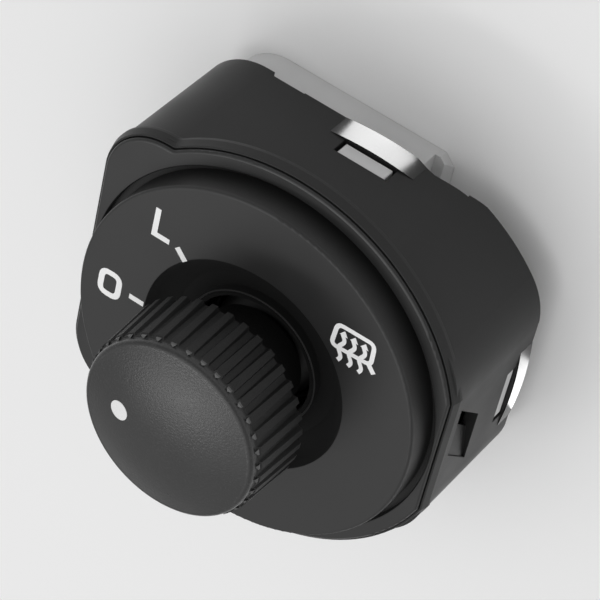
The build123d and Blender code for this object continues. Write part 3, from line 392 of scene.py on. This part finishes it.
def make_piece(name, points, faces, finish, slot, body):
    """Puts points in millimetres and faces into a mesh object that rides on a body."""
    mesh = bpy.data.meshes.new(name)
    mesh.from_pydata((np.asarray(points) * MM).tolist(), [], np.asarray(faces).tolist())
    mesh.materials.append(bpy.data.materials[finish])
    mesh.validate()
    piece = bpy.data.objects.new(name, mesh)
    bpy.context.scene.collection.objects.link(piece)
    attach(piece, body)
    return piece


def bar(path, width, closed, level, height):
    """Flat bar along a path: each point goes half the width to either side along the mitre
    of its two runs, and the section is a rectangle from `level` up by `height`."""
    path = np.asarray(path, float)
    after = np.roll(path, -1, axis=0) - path
    before = path - np.roll(path, 1, axis=0)
    if not closed:
        before[0], after[-1] = after[0], before[-1]
    side_a = np.stack((-after[:, 1], after[:, 0]), 1) / np.linalg.norm(after, axis=1)[:, None]
    side_b = np.stack((-before[:, 1], before[:, 0]), 1) / np.linalg.norm(before, axis=1)[:, None]
    mitre = side_a + side_b
    mitre /= (mitre * side_a).sum(1)[:, None]
    reach = mitre * np.broadcast_to(width, len(path))[:, None] / 2
    left, right = path + reach, path - reach
    low, high = np.full((len(path), 1), level), np.full((len(path), 1), level + height)
    points = np.concatenate([np.hstack(row) for row in (
        (left, high), (right, high), (right, low), (left, low))])
    count = len(path)
    here = np.arange(count if closed else count - 1)
    there = (here + 1) % count
    faces = [np.stack((here + a * count, there + a * count, there + b * count,
                       here + b * count), 1)
             for a, b in ((1, 0), (2, 1), (3, 2), (0, 3))]
    if not closed:
        first = np.arange(4) * count
        faces += [first[None, ::-1], (first + count - 1)[None]]
    return points, np.concatenate(faces)


def joined(parts):
    """Points and faces of several meshes as one."""
    shift = np.cumsum([0] + [len(points) for points, _ in parts[:-1]])
    return (np.concatenate([points for points, _ in parts]),
            np.concatenate([faces + start for (_, faces), start in zip(parts, shift)]))


def rounded_path(corners, radius, steps=6):
    """Closed path with each corner replaced by a quarter-like curve: the quadratic blend
    of the corner with the points `radius` before and after it."""
    corners = np.asarray(corners, float)
    to_next = np.roll(corners, -1, 0) - corners
    to_last = np.roll(corners, 1, 0) - corners
    leave = corners + radius * to_next / np.linalg.norm(to_next, axis=1)[:, None]
    enter = corners + radius * to_last / np.linalg.norm(to_last, axis=1)[:, None]
    t = np.linspace(0, 1, steps)[None, :, None]
    curve = ((1 - t) ** 2 * enter[:, None] + 2 * t * (1 - t) * corners[:, None]
             + t ** 2 * leave[:, None])
    return curve.reshape(-1, 2)


def make_marks():
    """White marks on the dial: three letters, their ticks and the heated glass symbol."""
    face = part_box("face_disc")[1].z / MM

    def printed(name, parts):
        points, faces = joined(parts)
        make_piece(name, points, faces, "white_pad_print", "dot_plastic", "root")

    def stroke(path, width=LETTER_STROKE, closed=False, step=0):
        return bar(path, width, closed, face, INK_HEIGHT + step * INK_STEP)

    printed("mark_letter_l", [stroke([(LETTER_LEFT, LETTER_FAR), (LETTER_LEFT, LETTER_NEAR),
                                      (L_FOOT_END, LETTER_NEAR)])])
    left, right = O_SIDES
    low, high = O_ENDS
    oval = rounded_path([(right, low), (right, high), (left, high), (left, low)], O_CORNER)
    printed("mark_letter_o", [stroke(oval, O_STROKE, closed=True)])
    bowl = rounded_path([(LETTER_LEFT, -LETTER_NEAR), (LETTER_LEFT, R_BOWL_FOOT),
                         (R_BOWL_RIGHT, R_BOWL_FOOT), (R_BOWL_RIGHT, -LETTER_NEAR)],
                        R_BOWL_CORNER)
    printed("mark_letter_r", [
        stroke([(LETTER_LEFT, -LETTER_FAR), (LETTER_LEFT, LETTER_STROKE / 2 - LETTER_NEAR)]),
        stroke(bowl, closed=True, step=1),
        stroke([(R_LEG_START, R_BOWL_FOOT), (R_LEG_END, -LETTER_FAR)], step=2)])
    for letter, (angle, inner, outer, width) in TICKS.items():
        turn = math.radians(angle)
        radii = np.array((inner, outer))[:, None]
        printed("mark_tick_" + letter, [stroke(
            radii * (math.cos(turn), math.sin(turn)), width)])

    symbol = [stroke(rounded_path(PANE_CORNERS, PANE_ROUNDING), PANE_STROKE, closed=True),
              stroke(TAIL, TAIL_STROKE, step=1)]
    # each wave sways to either side by a cosine of its height
    y = np.linspace(*WAVE_SPAN, WAVE_STEPS)
    sway = WAVE_SWING * np.cos(2 * np.pi * (y - WAVE_CREST) / WAVE_PERIOD)
    for x in WAVE_PLACES:
        symbol.append(stroke(np.stack((x + sway, y), 1), WAVE_STROKE, step=2))
        symbol.append(stroke([(x, HEAD_BASE), (x + HEAD_LEAN, HEAD_TIP)], HEAD_WIDTHS, step=3))
    printed("mark_heated_glass", symbol)


def solid_of_sections(rows):
    """Closed solid through sections of the same even number of points: neighbours join as
    quads, and each end is a ladder of quads between the section's two halves."""
    sections, count = rows.shape[:2]
    here = np.arange(sections - 1)[:, None] * count + np.arange(count)
    there = np.arange(sections - 1)[:, None] * count + (np.arange(count) + 1) % count
    sides = np.stack((here, there, there + count, here + count), -1).reshape(-1, 4)
    rung = np.arange(count // 2 - 1)
    ladder = np.stack((rung, count - 1 - rung, count - 2 - rung, rung + 1), 1)
    far = ladder[:, ::-1] + (sections - 1) * count
    return rows.reshape(-1, 3), np.concatenate((sides, ladder, far))


def turned_about_axis(points, degrees):
    """Points turned about the knob axis."""
    angle = math.radians(degrees)
    turn = np.array(((math.cos(angle), math.sin(angle), 0),
                     (-math.sin(angle), math.cos(angle), 0), (0, 0, 1)))
    return points @ turn


def make_latch_pads():
    """Grey pads on the latch noses: a chamfered section along each window, each end section
    drawn in by the chamfer."""
    for side, (turn, offset, width, rear, front, half) in WINDOWS.items():
        reach = half - PAD_RECESS
        low, high, chamfer = rear + PAD_REAR_GAP, front - PAD_FRONT_GAP, PAD_CHAMFER
        full = np.array(((half - PAD_DEPTH, low), (reach - chamfer, low), (reach, low + chamfer),
                         (reach, high - chamfer), (reach - chamfer, high),
                         (half - PAD_DEPTH, high)))
        middle = np.array((half - PAD_DEPTH, (low + high) / 2))
        shrink = 1 - chamfer / np.array((PAD_DEPTH - PAD_RECESS, (high - low) / 2))
        small = middle + (full - middle) * shrink
        run = width / 2 - PAD_SIDE_GAP
        stations = (offset - run, offset - run + chamfer, offset + run - chamfer, offset + run)
        rows = np.stack([np.column_stack((np.full(len(full), x), section))
                         for x, section in zip(stations, (small, full, full, small))])
        points, faces = solid_of_sections(rows)
        make_piece("latch_pad_" + side, turned_about_axis(points, turn), faces,
                   "glass_filled_polyamide_cover", "cover_plastic", "root")


def make_strap_faces():
    """Polished faces of the top and right straps: each follows the strap's shallow bow, the
    arc of a circle whose chord is the window's width plus its two spreads, and whose radius
    is (chord squared / 4 + bulge squared) / (2 bulge)."""
    straps = {}
    for side in ("top", "right"):
        turn, offset, width, rear, _, half = WINDOWS[side]
        chord = width + 2 * STRAP_SPREAD
        radius = (chord ** 2 / 4 + STRAP_BULGE ** 2) / (2 * STRAP_BULGE)
        x = np.linspace(-chord / 2, chord / 2, STRAP_STEPS)
        bow = half - radius + STRAP_BULGE + np.sqrt(radius ** 2 - x ** 2)
        # the top strap's rear edge rises towards the dip in the shell's edge
        ramp = STRAP_RAMP if side == "top" else 0.0
        low = STRAP_REAR + ramp * np.maximum(0, x + offset - STRAP_RAMP_START)
        high = np.full_like(x, rear)
        rows = np.stack([np.column_stack((x + offset, bow + out, level)) for out, level in (
            (-STRAP_ROOT, low), (STRAP_PROUD, low), (STRAP_PROUD, high),
            (-STRAP_ROOT, high))], 1)
        points, faces = solid_of_sections(rows)
        straps[side] = make_piece("strap_face_" + side, turned_about_axis(points, turn), faces,
                                  "rubbed_abs_strap", "shell_plastic", "root")
    return straps


def turned_ring(loop, steps=180):
    """Closed ring about the knob axis: each point (r, z) of a closed loop goes round as
    (r cos a, r sin a, z)."""
    angle = np.linspace(0, 2 * np.pi, steps, endpoint=False)[:, None]
    radius, level = np.asarray(loop, float).T
    rows = np.stack((radius * np.cos(angle), radius * np.sin(angle), level + 0 * angle), -1)
    here = np.arange(steps * len(radius)).reshape(steps, -1)
    there = np.roll(here, -1, 0)
    faces = np.stack((here, there, np.roll(there, -1, 1), np.roll(here, -1, 1)), -1)
    return rows.reshape(-1, 3), faces.reshape(-1, 4)


def turned_shell(profile, steps=48):
    """Closed shell turned about its own axis from a profile (r, z) that starts and ends on
    the axis: the points between go round as (r cos a, r sin a, z), and a fan closes each
    pole."""
    profile = np.asarray(profile, float)
    angle = np.linspace(0, 2 * np.pi, steps, endpoint=False)
    radius, level = profile[1:-1].T[..., None]
    rings = np.stack((radius * np.cos(angle), radius * np.sin(angle), level + 0 * angle), -1)
    poles = np.column_stack((profile[[0, -1], 0], (0, 0), profile[[0, -1], 1]))
    here = np.arange(len(radius) * steps).reshape(-1, steps)
    there = np.roll(here, -1, 1)
    first, last = np.full(steps, here.size), np.full(steps, here.size + 1)
    corners = ((here[:-1], here[1:], there[1:]), (here[:-1], there[1:], there[:-1]),
               (first, here[0], there[0]), (last, there[-1], here[-1]))
    faces = [np.stack(three, -1).reshape(-1, 3) for three in corners]
    return np.concatenate((rings.reshape(-1, 3), poles)), np.concatenate(faces)


def make_dome_mat():
    """Rubber mat under the knob's carrier: a flat ring, and a hollow dome under each arm."""
    finish, slot, body = "silicone_dome_mat", "mat_rubber", "root"
    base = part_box("dome_mat")[0].z / MM
    sheet, top = base + MAT_THICKNESS, base + DOME_HEIGHT
    points, faces = turned_ring([(MAT_INNER, base), (MAT_OUTER, base), (MAT_OUTER, sheet),
                                 (MAT_INNER, sheet)])
    flat = make_piece("dome_mat_sheet", points, faces, finish, slot, body)
    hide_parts("dome_mat")
    points, faces = turned_shell([
        (0, top), (DOME_TOP, top), (DOME_FOOT, sheet + DOME_SKIRT), (DOME_FOOT, base),
        (DOME_FOOT - DOME_WALL, base), (DOME_FOOT - DOME_WALL, sheet - DOME_WALL),
        (DOME_TOP - DOME_WALL, top - DOME_CROWN), (0, top - DOME_CROWN)])
    for side, ((x, y), joint) in DOMES.items():
        centre = (DOME_RING * x, DOME_RING * y, 0)
        dome = make_piece("mat_dome_" + side, points + centre, faces, finish, slot, body)
        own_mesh(dome)


def make_collar_rim():
    """Fine bead on the collar round the knob's neck: a ring of small circles."""
    across = np.linspace(0, 2 * np.pi, BEAD_STEPS, endpoint=False)
    loop = np.column_stack((COLLAR_RADIUS + COLLAR_BEAD * np.cos(across),
                            COLLAR_LEVEL + COLLAR_BEAD * np.sin(across)))
    make_piece("collar_rim", *turned_ring(loop), "polished_abs_collar", "shell_plastic", "root")


def make_rib_wedges():
    """Small wedge at the front end of each rib: a triangle that points to the cap and
    slopes outwards, with a foot in the rib."""
    corners = np.array(((WEDGE_INNER, 0, WEDGE_TOP),
                        (WEDGE_OUTER, -WEDGE_HALF_WIDTH, WEDGE_TOP - WEDGE_DROP),
                        (WEDGE_OUTER, WEDGE_HALF_WIDTH, WEDGE_TOP - WEDGE_DROP)))
    foot = corners * (1, 1, 0) + (0, 0, WEDGE_FOOT)
    one = np.concatenate((corners, foot))
    angles = np.arange(RIB_COUNT) * 360 / RIB_COUNT
    points = np.concatenate([turned_about_axis(one, angle) for angle in angles])
    pattern = np.array(((0, 1, 2), (3, 5, 4), (0, 3, 4), (0, 4, 1), (1, 4, 5), (1, 5, 2),
                        (2, 5, 3), (2, 3, 0)))
    faces = (pattern + len(one) * np.arange(RIB_COUNT)[:, None, None]).reshape(-1, 3)
    # the wedges' pale colour is a painted highlight
    make_piece("rib_end_wedges", points, faces, "worn_abs_rib_ends", "knob_plastic", "knob_body")


def aimed(place, target, up=(0, 0, 1)):
    """Turn and place of a light or camera whose -Z looks from a place to a target."""
    back = (Vector(place) - Vector(target)).normalized()
    right = Vector(up).cross(back).normalized()
    return Matrix.Translation(Vector(place) * MM) @ Matrix(
        (right, back.cross(right), back)).transposed().to_4x4()


def softbox(name, place, target, size, radiance, up=(0, 0, 1), spread=180.0):
    """Studio light: a rectangle of a size in mm with an even radiance, or with a grid that
    narrows it to a spread in degrees."""
    light = bpy.data.lights.new(name, "AREA")
    light.shape = "RECTANGLE"
    light.size, light.size_y = size[0] * MM, size[1] * MM
    light.energy = radiance * math.pi * light.size * light.size_y
    light.spread = math.radians(spread)
    lamp = bpy.data.objects.new(name, light)
    lamp.matrix_world = aimed(place, target, up)
    lamp.visible_camera = False
    bpy.context.scene.collection.objects.link(lamp)
    return lamp


def glint_softbox(name, centre, normal, size, radiance, strap):
    """Small softbox where a polished face mirrors it to the camera: along 2(c.n)n - c, with
    c towards the camera and n the face's normal. It lights only that strap."""
    back, normal = Vector(CAMERA_BACK), Vector(normal)
    ray = 2 * back.dot(normal) * normal - back
    lamp = softbox(name, Vector(centre) + GLINT_REACH * ray, centre, size, radiance,
                   spread=GLINT_SPREAD)
    lit = bpy.data.collections.new(name + "_lit")
    lit.objects.link(strap)
    lamp.light_linking.receiver_collection = lit


def make_camera():
    """Camera at the photograph's place, turned by its three measured directions."""
    camera = bpy.data.cameras.new("photo_camera")
    camera.lens, camera.sensor_width = LENS, SENSOR
    camera.clip_start, camera.clip_end = CLIP[0] * MM, CLIP[1] * MM
    holder = bpy.data.objects.new("photo_camera", camera)
    turn = Matrix((CAMERA_RIGHT, CAMERA_UP, CAMERA_BACK)).transposed().to_4x4()
    holder.matrix_world = Matrix.Translation(Vector(CAMERA_PLACE) * MM) @ turn
    bpy.context.scene.collection.objects.link(holder)
    bpy.context.scene.camera = holder


def make_stage():
    """Plain pale floor, a sky that brightens towards overhead, and two soft lights."""
    corners = np.array(((-1, -1), (1, -1), (1, 1), (-1, 1))) * FLOOR_HALF
    mesh = bpy.data.meshes.new("floor")
    mesh.from_pydata((np.column_stack((corners, np.full(4, -FLOOR_DROP))) * MM).tolist(), [],
                     [(0, 1, 2, 3)])
    # matt white paint scatters evenly, so the floor shows soft shadows and no reflection
    material, tree = material_tree("matt_paint_floor")
    shader = add_node(tree, "BsdfPrincipled", {}, {"Base Color": linear("#efefef"),
                                                   "Roughness": 0.9})
    add_node(tree, "OutputMaterial", {}, {"Surface": shader})
    mesh.materials.append(material)
    floor = bpy.data.objects.new("floor", mesh)
    bpy.context.scene.collection.objects.link(floor)

    world = bpy.data.worlds.new("studio")
    bpy.context.scene.world = world
    world.use_nodes = True
    # the sky is brighter overhead than at the horizon, as under a large ceiling softbox
    tree = world.node_tree
    way = add_node(tree, "TexCoord", {}, {}, "Generated")
    height = add_node(tree, "SeparateXYZ", {}, {0: way}, 2)
    strength = add_node(tree, "MapRange", {"interpolation_type": "SMOOTHSTEP"}, {
        "Value": height, "From Min": SKY_TURN, "To Min": SKY_LOW, "To Max": SKY_HIGH})
    tree.links.new(strength, tree.nodes["Background"].inputs["Strength"])
    tree.nodes["Background"].inputs["Color"].default_value = (1, 1, 1, 1)
    bpy.context.scene.view_settings.view_transform = "Standard"

    softbox("key", KEY_PLACE, KEY_TARGET, KEY_SIZE, KEY_RADIANCE)
    softbox("cap_strip", STRIP_PLACE, STRIP_TARGET, STRIP_SIZE, STRIP_RADIANCE, up=STRIP_UP)


make_camera()
make_stage()
finish_nodes()
make_marks()
make_dome_mat()
make_collar_rim()
make_rib_wedges()
make_latch_pads()
strap_faces = make_strap_faces()
for light_name, (strap_side, *placing) in GLINTS.items():
    glint_softbox(light_name, *placing, strap_faces[strap_side])
